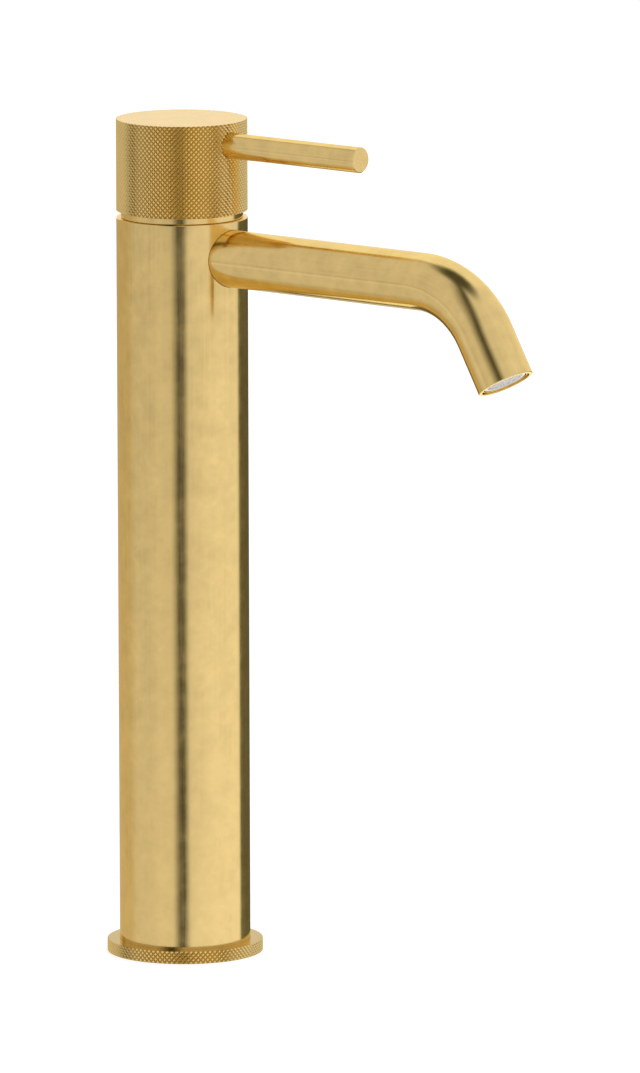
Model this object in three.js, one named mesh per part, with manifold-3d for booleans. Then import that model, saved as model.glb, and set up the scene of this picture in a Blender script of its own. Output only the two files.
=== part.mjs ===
// A tall single-lever basin mixer in brushed brass: a plain round column on a knurled base ring, a straight
// spout that turns down at its end, and a knurled cap with a slim lever. Lifting the lever opens the water and
// turning it sets the temperature.
// Millimetres. The origin is the centre of the base on the deck, +Z is up, and the spout and lever point along -Y.
import * as THREE from 'three';
import { mergeVertices } from 'three/addons/utils/BufferGeometryUtils.js';
import Module from 'manifold-3d';

const wasm = await Module();
wasm.setup();

// ---------------------------------------------------------------- driving dimensions
const GAP = 0.3; // left between pieces that touch
const FINE = 56; // sides of a large round, of a middling one and of a small hole
const MEDIUM = 32;
const COARSE = 16;

const BASE_RADIUS = 29.8;
const BASE_HEIGHT = 4.8;
const BODY_RADIUS = 25;
const BODY_WALL = 2;
const BODY_TOP = 283.5;

const CAP_BOTTOM = 286.2;
const CAP_TOP = 321.2;
const CAP_RADIUS = 25;
const CAP_SKIRT = 1.5; // wall of the cap around the neck
const CAP_CROWN = 15; // solid metal above the cap's hollow
const NECK_RADIUS = 23.2;

const SPOUT_RADIUS = 10.9;
const SPOUT_WALL = 1.5;
const SPOUT_HEIGHT = 269.6;
const SPOUT_STRAIGHT = 118.5; // from the column's axis to the start of the bend
const SPOUT_BEND = 35; // bend radius of the centre line
const SPOUT_TURN = THREE.MathUtils.degToRad(60);
const SPOUT_END = 20; // straight length after the bend

const LEVER_RADIUS = 4.9;
const LEVER_HEIGHT = 312.8;
const LEVER_REACH = 88.6; // from the column's axis to the lever's end

const PIVOT_HEIGHT = 266; // the axis that the stem tilts about
const BALL_ARM = 8; // from the pivot down to the stem's ball

const PIPE_OFFSET = 9.5; // risers and hose ports, either side of the axis
const STUD_OFFSET = 13; // fixing-stud sockets, front and back
const INLET = { x: 6.6, y: 3.6, radius: 2.6 }; // water holes under the cartridge
const OUTLET = { x: 0, y: -7.5, radius: 2.6 };

// ---------------------------------------------------------------- solids
// A closed geometry as a solid, with shared corners merged and collapsed triangles dropped.
function solid(geometry) {
  const bare = new THREE.BufferGeometry();
  bare.setAttribute('position', geometry.getAttribute('position'));
  bare.setIndex(geometry.getIndex());
  const merged = mergeVertices(bare, 1e-4);
  const corners = merged.index.array;
  const kept = [];
  for (let i = 0; i < corners.length; i += 3) {
    const [a, b, c] = corners.slice(i, i + 3);
    if (a !== b && b !== c && c !== a) kept.push(a, b, c);
  }
  return new wasm.Manifold(new wasm.Mesh({
    numProp: 3,
    vertProperties: merged.attributes.position.array,
    triVerts: new Uint32Array(kept),
  }));
}

// A solid as a geometry with flat-shaded faces.
function geometryOf(made) {
  const mesh = made.getMesh();
  const geometry = new THREE.BufferGeometry();
  geometry.setAttribute('position', new THREE.BufferAttribute(mesh.vertProperties, 3));
  geometry.setIndex(new THREE.BufferAttribute(mesh.triVerts, 1));
  const flat = geometry.toNonIndexed();
  flat.computeVertexNormals();
  return flat;
}

// A solid turned about the vertical axis from [radius, height] points that run anticlockwise: up the outside.
function turned(profile, sides = FINE) {
  const geometry = new THREE.LatheGeometry(profile.map(([r, z]) => new THREE.Vector2(r, z)), sides);
  return solid(geometry.rotateX(Math.PI / 2));
}

function disc(radius, low, high, sides = MEDIUM) {
  return turned([[0, low], [radius, low], [radius, high], [0, high]], sides);
}

function ring(inner, outer, low, high, sides = MEDIUM) {
  return turned([[inner, low], [outer, low], [outer, high], [inner, high], [inner, low]], sides);
}

// A rod from one point to another, for holes and pins.
function rod(radius, from, to, sides = COARSE) {
  const start = new THREE.Vector3(...from);
  const run = new THREE.Vector3(...to).sub(start);
  const geometry = new THREE.CylinderGeometry(radius, radius, run.length(), sides);
  const turn = new THREE.Quaternion().setFromUnitVectors(new THREE.Vector3(0, 1, 0), run.clone().normalize());
  geometry.applyQuaternion(turn);
  const middle = start.addScaledVector(run, 0.5);
  return solid(geometry.translate(middle.x, middle.y, middle.z));
}

function block(low, high) {
  const size = high.map((v, i) => v - low[i]);
  const geometry = new THREE.BoxGeometry(...size);
  return solid(geometry.translate(...low.map((v, i) => v + size[i] / 2)));
}

function cut(from, ...cutters) {
  return cutters.reduce((left, cutter) => left.subtract(cutter), from);
}

function moved(made, x, y, z) {
  return made.translate([x, y, z]);
}

// ---------------------------------------------------------------- materials
const standard = (color, roughness, metalness) => new THREE.MeshStandardMaterial({ color, roughness, metalness });
const finishes = {
  brushedBrass: standard(0xc9a566, 0.34, 1),
  rawBrass: standard(0xb08d4a, 0.45, 1),
  copper: standard(0xb5653c, 0.35, 1),
  steel: standard(0x9a9c9f, 0.35, 1),
  rubber: standard(0x1b1b1b, 0.8, 0),
  plastic: standard(0xd8d8d2, 0.5, 0),
  greyPlastic: standard(0x9c9b97, 0.55, 0),
  ceramic: standard(0xe9e6de, 0.2, 0),
};

function piece(name, made, finish) {
  const mesh = new THREE.Mesh(geometryOf(made), finishes[finish]);
  mesh.name = name;
  return mesh;
}

// ---------------------------------------------------------------- base
const BODY_BORE = BODY_RADIUS - BODY_WALL;
const FLANGE = { radius: 26.6, height: 1.5 }; // foot of the base insert, under the column
const SPIGOT_RADIUS = BODY_BORE - 0.4;
const INSERT_TOP = 22;
const PORT = { radius: 4.5, depth: 12 }; // M10x1 hose port
const STUD = { radius: 3.4, depth: 14 }; // M8 fixing-stud socket
const RISER = { radius: 4, bore: 3 };
const SOCKET = { radius: RISER.radius + GAP, depth: 6.5 }; // holds a riser's end
const SEAL = { inner: RISER.radius + GAP, outer: 5.3, height: 2 };
const SEAL_POCKET = { radius: 5.6, depth: 3.5 };

function baseRing() {
  const seat = BASE_RADIUS - 0.9;
  const bore = BODY_RADIUS + GAP;
  const ceiling = FLANGE.height + GAP;
  return turned([
    [seat, 0], [BASE_RADIUS, 0], [BASE_RADIUS, BASE_HEIGHT],
    [bore, BASE_HEIGHT], [bore, ceiling], [seat, ceiling], [seat, 0],
  ]);
}

function deckGasket() {
  return ring(FLANGE.radius + GAP, BASE_RADIUS - 0.9 - GAP, 0, FLANGE.height, FINE);
}

const GROOVE = { low: 9, high: 11.5, depth: 1.6 }; // O-ring groove round the spigot

function baseInsert() {
  const inGroove = SPIGOT_RADIUS - GROOVE.depth;
  const blank = turned([
    [0, 0], [FLANGE.radius, 0], [FLANGE.radius, FLANGE.height], [SPIGOT_RADIUS, FLANGE.height],
    [SPIGOT_RADIUS, GROOVE.low], [inGroove, GROOVE.low], [inGroove, GROOVE.high], [SPIGOT_RADIUS, GROOVE.high],
    [SPIGOT_RADIUS, INSERT_TOP], [0, INSERT_TOP],
  ], MEDIUM);
  const holes = [];
  for (const side of [-1, 1]) {
    const x = side * PIPE_OFFSET;
    holes.push(rod(PORT.radius, [x, 0, -1], [x, 0, PORT.depth]));
    holes.push(rod(2.6, [x, 0, PORT.depth - 1], [x, 0, INSERT_TOP]));
    holes.push(rod(SOCKET.radius, [x, 0, INSERT_TOP - SOCKET.depth], [x, 0, INSERT_TOP + 1]));
    holes.push(rod(SEAL_POCKET.radius, [x, 0, INSERT_TOP - SEAL_POCKET.depth], [x, 0, INSERT_TOP + 1]));
    holes.push(rod(STUD.radius, [0, side * STUD_OFFSET, -1], [0, side * STUD_OFFSET, STUD.depth]));
  }
  return cut(blank, ...holes);
}

function insertORing() {
  return ring(SPIGOT_RADIUS - GROOVE.depth + GAP, BODY_BORE - GAP, GROOVE.low + GAP, GROOVE.high - GAP);
}

// ---------------------------------------------------------------- column
const HOUSING = { bottom: 212, shoulder: 232, top: BODY_TOP - 0.2, neck: 18 }; // valve body heights and neck radius
const CAVITY = { floor: 241, step: 268, wide: 14, narrow: 12.8 }; // bore that holds the cartridge
const SPOUT_SOCKET = { radius: SPOUT_RADIUS + GAP, floor: 16.3 }; // its floor is this far in front of the axis
const SPOUT_GROOVE = { radius: 12.4, near: 17.2, far: 18.8 };
const RISER_BOTTOM = INSERT_TOP - SOCKET.depth + GAP;
const RISER_TOP = 219.7;

function bodyTube() {
  const spoutHole = rod(SPOUT_RADIUS + GAP, [0, -15, SPOUT_HEIGHT], [0, -BODY_RADIUS - 5, SPOUT_HEIGHT], MEDIUM);
  return cut(ring(BODY_BORE, BODY_RADIUS, FLANGE.height + GAP, BODY_TOP, FINE), spoutHole);
}

function valveBody() {
  const blank = turned([
    [0, HOUSING.bottom], [HOUSING.neck, HOUSING.bottom], [HOUSING.neck, HOUSING.shoulder],
    [SPIGOT_RADIUS, HOUSING.shoulder], [SPIGOT_RADIUS, HOUSING.top],
    [CAVITY.narrow, HOUSING.top], [CAVITY.narrow, CAVITY.step], [CAVITY.wide, CAVITY.step],
    [CAVITY.wide, CAVITY.floor], [0, CAVITY.floor],
  ], MEDIUM);
  const z = SPOUT_HEIGHT;
  const holes = [
    rod(SPOUT_SOCKET.radius, [0, -SPOUT_SOCKET.floor, z], [0, -BODY_RADIUS, z], MEDIUM),
    rod(SPOUT_GROOVE.radius, [0, -SPOUT_GROOVE.near, z], [0, -SPOUT_GROOVE.far, z], MEDIUM),
    rod(4.5, [0, -12, z - 4.7], [0, -SPOUT_SOCKET.floor - 1, z - 4.7]), // mixed water to the spout
  ];
  for (const side of [-1, 1]) {
    const x = side * PIPE_OFFSET;
    holes.push(rod(SOCKET.radius, [x, 0, HOUSING.bottom - 1], [x, 0, RISER_TOP + 4]));
    holes.push(rod(SEAL_POCKET.radius, [x, 0, HOUSING.bottom - 1], [x, 0, HOUSING.bottom + SEAL_POCKET.depth]));
    const inlet = side * INLET.x;
    holes.push(rod(INLET.radius, [inlet, INLET.y, RISER_TOP + GAP], [inlet, INLET.y, CAVITY.floor + 1]));
  }
  return cut(blank, ...holes);
}

const riser = (side) => moved(ring(RISER.bore, RISER.radius, RISER_BOTTOM, RISER_TOP, COARSE), side * PIPE_OFFSET, 0, 0);

function riserSeal(side, low) {
  return moved(ring(SEAL.inner, SEAL.outer, low, low + SEAL.height, COARSE), side * PIPE_OFFSET, 0, 0);
}

const LOWER_SEAL = INSERT_TOP - SEAL_POCKET.depth + 0.6;
const UPPER_SEAL = HOUSING.bottom + 0.8;

// ---------------------------------------------------------------- spout
// The spout's centre line: straight forward from the column, round the bend, and straight again to the outlet.
// Its parameter counts stations, so that the bend is finely stepped and each straight is one step.
const BEND_STEPS = 10;
const SPOUT_ROOT = SPOUT_SOCKET.floor + GAP;

class SpoutLine extends THREE.Curve {
  turnAt(station) {
    return SPOUT_TURN * THREE.MathUtils.clamp((station - 1) / BEND_STEPS, 0, 1);
  }

  getPoint(t) {
    const station = t * (BEND_STEPS + 2);
    const turn = this.turnAt(station);
    const root = Math.max(0, 1 - station) * (SPOUT_STRAIGHT - SPOUT_ROOT);
    const end = Math.max(0, station - BEND_STEPS - 1) * SPOUT_END;
    const reach = SPOUT_STRAIGHT - root + SPOUT_BEND * Math.sin(turn) + end * Math.cos(turn);
    const drop = SPOUT_BEND * (1 - Math.cos(turn)) + end * Math.sin(turn);
    return new THREE.Vector3(0, -reach, SPOUT_HEIGHT - drop);
  }

  getTangent(t) {
    const turn = this.turnAt(t * (BEND_STEPS + 2));
    return new THREE.Vector3(0, -Math.cos(turn), -Math.sin(turn));
  }

  getPointAt(u) {
    return this.getPoint(u);
  }

  getTangentAt(u) {
    return this.getTangent(u);
  }
}

const spoutLine = new SpoutLine();
const SPOUT_BORE = SPOUT_RADIUS - SPOUT_WALL;

function spoutTube() {
  const section = new THREE.Shape().absarc(0, 0, SPOUT_RADIUS, 0, 2 * Math.PI);
  section.holes.push(new THREE.Path().absarc(0, 0, SPOUT_BORE, 0, 2 * Math.PI));
  return solid(new THREE.ExtrudeGeometry(section, {
    steps: BEND_STEPS + 2,
    curveSegments: MEDIUM / 2,
    extrudePath: spoutLine,
  }));
}

// Laid along -Y at the spout's height: distances run forwards from the column's axis.
function lyingAt(height, made) {
  return moved(made.rotate([90, 0, 0]), 0, 0, height);
}

function spoutORing() {
  return lyingAt(SPOUT_HEIGHT, ring(SPOUT_RADIUS + GAP, SPOUT_GROOVE.radius - GAP, SPOUT_GROOVE.near + GAP,
    SPOUT_GROOVE.far - GAP));
}

// The aerator's pieces stand on the outlet: local height 0 is the outlet's rim, and they reach up the bore.
const AERATOR = { recess: 0.5, length: 9, housingBore: 8.5 };

const aeratorHousing = () => ring(AERATOR.housingBore, SPOUT_BORE - GAP, AERATOR.recess, AERATOR.length);

function aeratorInsert() {
  const body = disc(AERATOR.housingBore - GAP, AERATOR.recess + 0.4, AERATOR.length - 1);
  const holes = [];
  for (const [count, radius] of [[1, 0], [6, 4.2]]) {
    for (let k = 0; k < count; k++) {
      const angle = (2 * Math.PI * k) / count;
      const [x, y] = [radius * Math.cos(angle), radius * Math.sin(angle)];
      holes.push(rod(1.1, [x, y, 0], [x, y, AERATOR.length], 8));
    }
  }
  return cut(body, ...holes);
}

const aeratorSeal = () => ring(7, SPOUT_BORE - GAP, AERATOR.length + GAP, AERATOR.length + 1.6);

// ---------------------------------------------------------------- cartridge
const SHELL = { bottom: 248, shoulder: 262.3, top: 275, radius: 12.5, wideBore: 11.9, narrowBore: 9.8 };
const SHELL_GROOVE = { low: 270, high: 272.4, radius: 11.5 };
const CARTRIDGE_BASE = { bottom: 242.3, top: 247.7, outletFloor: 244.5, slotTop: 246.5 };
const INLET_SEAL = { inner: 2.9, outer: 4.1, pocket: 4.4, pocketDepth: 1.1 };
const NUT_BORE = 10.3;

const inletPositions = [-1, 1].map((side) => [side * INLET.x, INLET.y]);

function cartridgeBase() {
  const { bottom, top, outletFloor, slotTop } = CARTRIDGE_BASE;
  const holes = [
    rod(OUTLET.radius, [OUTLET.x, OUTLET.y, outletFloor], [OUTLET.x, OUTLET.y, top + 1]),
    block([-OUTLET.radius, -SHELL.radius - 1, outletFloor], [OUTLET.radius, OUTLET.y, slotTop]),
  ];
  for (const [x, y] of inletPositions) {
    holes.push(rod(INLET.radius, [x, y, bottom - 1], [x, y, top + 1]));
    holes.push(rod(INLET_SEAL.pocket, [x, y, bottom - 1], [x, y, bottom + INLET_SEAL.pocketDepth]));
  }
  return cut(disc(SHELL.radius, bottom, top), ...holes);
}

function inletSeal([x, y]) {
  const low = CAVITY.floor + GAP;
  const high = CARTRIDGE_BASE.bottom + INLET_SEAL.pocketDepth - GAP;
  return moved(ring(INLET_SEAL.inner, INLET_SEAL.outer, low, high, COARSE), x, y, 0);
}

function cartridgeShell() {
  const { bottom, shoulder, top, radius, wideBore, narrowBore } = SHELL;
  return turned([
    [wideBore, bottom], [radius, bottom], [radius, SHELL_GROOVE.low], [SHELL_GROOVE.radius, SHELL_GROOVE.low],
    [SHELL_GROOVE.radius, SHELL_GROOVE.high], [radius, SHELL_GROOVE.high], [radius, top],
    [narrowBore, top], [narrowBore, shoulder], [wideBore, shoulder], [wideBore, bottom],
  ], MEDIUM);
}

function cartridgeORing() {
  return ring(SHELL_GROOVE.radius + GAP, CAVITY.narrow - GAP, SHELL_GROOVE.low + GAP, SHELL_GROOVE.high - GAP);
}

const cartridgeNut = () => ring(NUT_BORE, CAVITY.narrow - GAP, SHELL.top + GAP, HOUSING.top - 0.1);
const neckRing = () => ring(15, NECK_RADIUS, BODY_TOP + GAP, CAP_BOTTOM - GAP, FINE);

const FIXED_DISC = { bottom: SHELL.bottom + GAP, top: SHELL.bottom + 3.3 };

function fixedDisc() {
  const { bottom, top } = FIXED_DISC;
  const holes = [...inletPositions, [OUTLET.x, OUTLET.y]].map(
    ([x, y]) => rod(INLET.radius, [x, y, bottom - 1], [x, y, top + 1]));
  return cut(disc(SHELL.wideBore - GAP, bottom, top), ...holes);
}

const MOVING_DISC = { bottom: FIXED_DISC.top + GAP, top: FIXED_DISC.top + 2.5, radius: 8.6 };
const CARRIER = { bottom: MOVING_DISC.top + GAP, top: 259.6, radius: 8.8, socket: 3, socketFloor: 255 };

function movingDisc() {
  const { bottom, top, radius } = MOVING_DISC;
  return cut(disc(radius, bottom, top), disc(5.5, bottom - 1, bottom + 1.2, COARSE)); // the mixing chamber under it
}

function discCarrier() {
  return turned([
    [0, CARRIER.bottom], [CARRIER.radius, CARRIER.bottom], [CARRIER.radius, CARRIER.top],
    [CARRIER.socket, CARRIER.top], [CARRIER.socket, CARRIER.socketFloor], [0, CARRIER.socketFloor],
  ], MEDIUM);
}

const TURRET = { bottom: 260, flangeTop: 262, top: 274.7 };
const PIN_RADIUS = 1.5;
const STEM_RADIUS = 3.5;

function turret() {
  const radius = SHELL.narrowBore - GAP;
  const flange = SHELL.wideBore - GAP;
  const blank = turned([
    [0, TURRET.bottom], [flange, TURRET.bottom], [flange, TURRET.flangeTop], [radius, TURRET.flangeTop],
    [radius, TURRET.top], [0, TURRET.top],
  ], MEDIUM);
  const halfSlot = STEM_RADIUS + 0.4;
  return cut(blank,
    block([-halfSlot, -5, TURRET.bottom - 1], [halfSlot, 7.5, TURRET.top + 1]),
    rod(PIN_RADIUS + GAP, [-radius - 1, 0, PIVOT_HEIGHT], [radius + 1, 0, PIVOT_HEIGHT]));
}

function pivotPin() {
  const half = SHELL.narrowBore - 2 * GAP;
  return rod(PIN_RADIUS, [-half, 0, PIVOT_HEIGHT], [half, 0, PIVOT_HEIGHT]);
}

// ---------------------------------------------------------------- handle
const STEM_TOP = 304;
const BALL_RADIUS = 2.3;
const STEM_NECK = 1.9;

function stem() {
  const centre = PIVOT_HEIGHT - BALL_ARM;
  const neckAngle = Math.acos(STEM_NECK / BALL_RADIUS);
  const steps = 6;
  const ball = Array.from({ length: steps + 1 }, (_, k) => {
    const angle = -Math.PI / 2 + (k / steps) * (neckAngle + Math.PI / 2);
    return [k ? BALL_RADIUS * Math.cos(angle) : 0, centre + BALL_RADIUS * Math.sin(angle)];
  });
  const blank = turned([
    ...ball, [STEM_NECK, centre + 4], [STEM_RADIUS, centre + 5.6], [STEM_RADIUS, STEM_TOP], [0, STEM_TOP],
  ], COARSE + 4);
  return cut(blank, rod(PIN_RADIUS + GAP, [-5, 0, PIVOT_HEIGHT], [5, 0, PIVOT_HEIGHT]));
}

const HUB = { radius: 8, bottom: 294 };
const GRUB = { radius: 1.9, height: 299, length: 3.9 };
const PLUG_RADIUS = 2.9;
const LEVER_SOCKET = 14; // the lever's inner end stops this far from the axis
const LEVER_BORE = { radius: 2.8, depth: 8.2 };
const STUD_END = 4; // the lever stud's inner end, from the axis
const EDGE = 0.4; // small chamfer on turned edges

function handleCap() {
  const inside = CAP_RADIUS - CAP_SKIRT;
  const ceiling = CAP_TOP - CAP_CROWN;
  const stemSocket = STEM_RADIUS + GAP;
  const blank = turned([
    [0, STEM_TOP + GAP], [stemSocket, STEM_TOP + GAP], [stemSocket, HUB.bottom], [HUB.radius, HUB.bottom],
    [HUB.radius, ceiling], [inside, ceiling], [inside, CAP_BOTTOM], [CAP_RADIUS, CAP_BOTTOM],
    [CAP_RADIUS, CAP_TOP - EDGE], [CAP_RADIUS - EDGE, CAP_TOP], [0, CAP_TOP],
  ]);
  const outside = CAP_RADIUS + 1;
  return cut(blank,
    rod(LEVER_RADIUS + GAP, [0, -LEVER_SOCKET, LEVER_HEIGHT], [0, -outside, LEVER_HEIGHT], MEDIUM),
    rod(LEVER_BORE.radius, [0, -STUD_END + GAP, LEVER_HEIGHT], [0, -outside, LEVER_HEIGHT]),
    rod(GRUB.radius + GAP, [0, 3, GRUB.height], [0, HUB.radius + 1, GRUB.height]),
    rod(PLUG_RADIUS + GAP, [0, CAP_RADIUS - 4, GRUB.height], [0, outside, GRUB.height]));
}

function lever() {
  const root = LEVER_SOCKET + GAP;
  const boreEnd = root + LEVER_BORE.depth;
  return lyingAt(LEVER_HEIGHT, turned([
    [0, boreEnd], [LEVER_BORE.radius, boreEnd], [LEVER_BORE.radius, root], [LEVER_RADIUS, root],
    [LEVER_RADIUS, LEVER_REACH - EDGE], [LEVER_RADIUS - EDGE, LEVER_REACH], [0, LEVER_REACH],
  ], MEDIUM));
}

function leverStud() {
  const outer = LEVER_SOCKET + LEVER_BORE.depth;
  return rod(LEVER_BORE.radius - GAP, [0, -STUD_END, LEVER_HEIGHT], [0, -outer, LEVER_HEIGHT]);
}

function handleGrubScrew() {
  const tip = STEM_RADIUS + GAP;
  return rod(GRUB.radius, [0, tip, GRUB.height], [0, tip + GRUB.length, GRUB.height]);
}

const screwPlug = () => rod(PLUG_RADIUS, [0, CAP_RADIUS - CAP_SKIRT, GRUB.height], [0, CAP_RADIUS - 0.2, GRUB.height]);

// ---------------------------------------------------------------- assembly
const faucet = new THREE.Group();

const fixedBody = new THREE.Group();
fixedBody.add(
  piece('base_ring', baseRing(), 'brushedBrass'),
  piece('deck_gasket', deckGasket(), 'rubber'),
  piece('base_insert', baseInsert(), 'rawBrass'),
  piece('insert_o_ring', insertORing(), 'rubber'),
  piece('body_tube', bodyTube(), 'brushedBrass'),
  piece('valve_body', valveBody(), 'rawBrass'),
  piece('spout_tube', spoutTube(), 'brushedBrass'),
  piece('spout_o_ring', spoutORing(), 'rubber'),
  piece('neck_ring', neckRing(), 'brushedBrass'),
  piece('cartridge_nut', cartridgeNut(), 'rawBrass'),
  piece('cartridge_shell', cartridgeShell(), 'plastic'),
  piece('cartridge_o_ring', cartridgeORing(), 'rubber'),
  piece('cartridge_base', cartridgeBase(), 'plastic'),
  piece('fixed_disc', fixedDisc(), 'ceramic'),
);
for (const [side, name] of [[-1, 'hot'], [1, 'cold']]) {
  fixedBody.add(
    piece(`riser_${name}`, riser(side), 'copper'),
    piece(`riser_seal_${name}_lower`, riserSeal(side, LOWER_SEAL), 'rubber'),
    piece(`riser_seal_${name}_upper`, riserSeal(side, UPPER_SEAL), 'rubber'),
    piece(`inlet_seal_${name}`, inletSeal([side * INLET.x, INLET.y]), 'rubber'),
  );
}

const outlet = new THREE.Group();
outlet.position.copy(spoutLine.getPoint(1));
outlet.rotation.x = SPOUT_TURN - Math.PI / 2;
outlet.add(
  piece('aerator_housing', aeratorHousing(), 'rawBrass'),
  piece('aerator_insert', aeratorInsert(), 'greyPlastic'),
  piece('aerator_seal', aeratorSeal(), 'rubber'),
);
fixedBody.add(outlet);

const turningParts = new THREE.Group();
turningParts.add(
  piece('turret', turret(), 'plastic'),
  piece('pivot_pin', pivotPin(), 'steel'),
);

const slidingParts = new THREE.Group();
slidingParts.add(
  piece('moving_disc', movingDisc(), 'ceramic'),
  piece('disc_carrier', discCarrier(), 'plastic'),
);

const handle = new THREE.Group();
handle.add(
  piece('stem', stem(), 'rawBrass'),
  piece('handle_cap', handleCap(), 'brushedBrass'),
  piece('lever', lever(), 'brushedBrass'),
  piece('lever_stud', leverStud(), 'steel'),
  piece('handle_grub_screw', handleGrubScrew(), 'steel'),
  piece('screw_plug', screwPlug(), 'brushedBrass'),
);

faucet.add(fixedBody, turningParts, slidingParts, handle);

export default faucet;
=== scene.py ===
"""A tall basin mixer in brushed brass: its fine outer shells, every finish, and the studio round it."""
import math

import bmesh
import bpy
from bpy.props import FloatProperty, FloatVectorProperty, IntProperty, PointerProperty
from mathutils import Matrix, Vector


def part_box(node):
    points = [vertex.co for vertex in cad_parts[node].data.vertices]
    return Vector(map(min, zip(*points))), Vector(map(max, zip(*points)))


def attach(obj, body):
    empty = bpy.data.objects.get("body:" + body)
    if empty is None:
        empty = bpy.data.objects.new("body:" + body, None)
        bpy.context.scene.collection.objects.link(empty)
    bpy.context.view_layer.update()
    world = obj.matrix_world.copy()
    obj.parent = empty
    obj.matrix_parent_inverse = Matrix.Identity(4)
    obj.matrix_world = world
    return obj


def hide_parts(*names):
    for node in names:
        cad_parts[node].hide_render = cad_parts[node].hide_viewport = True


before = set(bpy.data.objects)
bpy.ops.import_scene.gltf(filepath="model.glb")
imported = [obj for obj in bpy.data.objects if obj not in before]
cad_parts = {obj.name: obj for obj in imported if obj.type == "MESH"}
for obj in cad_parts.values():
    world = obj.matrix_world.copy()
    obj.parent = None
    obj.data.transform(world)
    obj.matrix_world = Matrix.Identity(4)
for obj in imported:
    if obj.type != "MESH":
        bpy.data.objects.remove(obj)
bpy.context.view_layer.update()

bl_info = {
    "name": "Basin mixer",
    "version": (1, 0, 0),
    "blender": (4, 5, 0),
    "location": "3D View > Sidebar > Mixer",
    "description": "Builds the visible shells and finishes of a tall single-lever basin mixer",
    "category": "Object",
}

MM = 0.001
UP = Vector((0, 0, 1))
FORWARD = Vector((0, -1, 0))  # the way that the spout and the lever point
SMOOTH_BELOW = math.radians(20)  # edges sharper than this stay crisp
CHAMFER_ABOVE = math.radians(50)  # edges sharper than this are chamfered
NEAR = 0.01 * MM  # how close a point has to be to count as on a level
WELL_INSIDE = 10 * NEAR  # how far in from the knurl's grooves a face is no longer part of the knurl
LEVEL = 0.95  # a face is level when its normal's upright part is above this
SAME_POINT = NEAR / 5  # points closer than this are merged
CUT_SNAP = NEAR / 10  # a cut leaves points alone that are further from it than this

CLEARANCE = 0.3 * MM  # between a shell and the piece inside it
HAIRLINE = 0.06 * MM  # the fine line round a piece that is pressed or screwed into another
SPOUT_HAIRLINE = 0.12 * MM
NECK_HAIRLINE = 0.05 * MM
NECK_BORE = 15 * MM
CAP_WALL = 1.5 * MM
CAP_TOP = 15 * MM  # thickness of the cap above its hollow
HUB_RADIUS = 8 * MM  # the boss in the cap that takes the stem
HUB_HEIGHT = 7.8 * MM  # of its lower face above the cap's lower edge
SOCKET_RADIUS = 3.8 * MM  # the boss's hole for the stem
STUD_BORE = 2.8 * MM  # radius of the hole for the lever's stud, in the cap and in the lever
STUD_END_GAP = 0.2 * MM
SCREW_BORE = 2.2 * MM  # radius of the hole for the grub screw
SCREW_START = 3 * MM  # where that hole starts, from the cap's axis
PLUG_GAP = 0.2 * MM
PLUG_DIMPLE = (1.1 * MM, 0.9 * MM, 0.6 * MM)  # radius at the dimple's mouth, at its floor, and its depth
PAST = 1.2  # a drill runs out to this share of the radius of the wall that it goes through
SPOUT_HOLE_START = 0.5  # as a share of the column's radius
STUD_HOLE_END = 0.6  # as a share of the cap's radius
PLUG_POCKET_FLOOR = 0.85  # as a share of the cap's radius

AERATOR_WALL = 0.6 * MM
AERATOR_RECESS = 0.5 * MM  # from the outlet's face to the aerator's ring
AERATOR_DEPTH = 9 * MM
AERATOR_EDGE = 0.12 * MM
INSERT_RECESS = 0.4 * MM  # from the ring's face to the insert
INSERT_SHORTER = 1 * MM  # how much sooner than the ring the insert ends
INSERT_RIM = 1.1 * MM
WEB_RECESS = 0.5 * MM  # from the insert's face to its honeycomb
WEB_DEPTH = 2.2 * MM

SMALL_ROUND, MEDIUM_ROUND, LARGE_ROUND = 32, 48, 96  # sides of the smaller rounds
LEVER_HOLE_SIDES = 80
BEND_STEPS = 30


# ---------------------------------------------------------------- settings
def length(name, description, default):
    return FloatProperty(name=name, description=description, default=default, min=0, precision=5,
                         subtype="DISTANCE", unit="LENGTH")


def colour(name, description, default):
    return FloatVectorProperty(name=name, description=description, default=default, min=0, max=1,
                               size=3, subtype="COLOR")


def share(name, description, default):
    return FloatProperty(name=name, description=description, default=default, min=0, max=1,
                         subtype="FACTOR")


def angle(name, description, degrees):
    return FloatProperty(name=name, description=description, default=math.radians(degrees),
                         subtype="ANGLE", unit="ROTATION")


class MixerSizes(bpy.types.PropertyGroup):
    """Sizes of the details that the frame leaves to the fine shells."""
    round_sides: IntProperty(name="Round sides", description="Sides of the large plain rounds",
                             default=224, min=24)
    edge: length("Edge", "Width of the small chamfer on turned edges", 0.2 * MM)
    lever_edge: length("Lever edge", "Width of the chamfer on the lever's end", 0.4 * MM)
    bend_radius: length("Spout bend", "Bend radius of the spout's centre line", 35 * MM)
    bend_turn: angle("Spout turn", "How far the spout turns down", 60)
    spout_wall: length("Spout wall", "Wall thickness of the spout", 1.5 * MM)
    cap_knurls: IntProperty(name="Cap knurls", description="Knurl diamonds round the cap",
                            default=84, min=12)
    base_knurls: IntProperty(name="Base knurls", description="Knurl diamonds round the base ring",
                             default=100, min=12)
    knurl_height: length("Knurl height", "Height of one knurl diamond", 1.94 * MM)
    knurl_depth: length("Knurl depth", "How far the diamonds stand proud of the grooves", 0.5 * MM)
    knurl_flank: length("Knurl flank", "Width of a diamond's sloping sides", 0.44 * MM)
    cell: length("Aerator cell", "Width of one honeycomb cell in the aerator", 1.9 * MM)
    cell_wall: length("Aerator web", "Half the thickness of the honeycomb's webs", 0.16 * MM)


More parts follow.
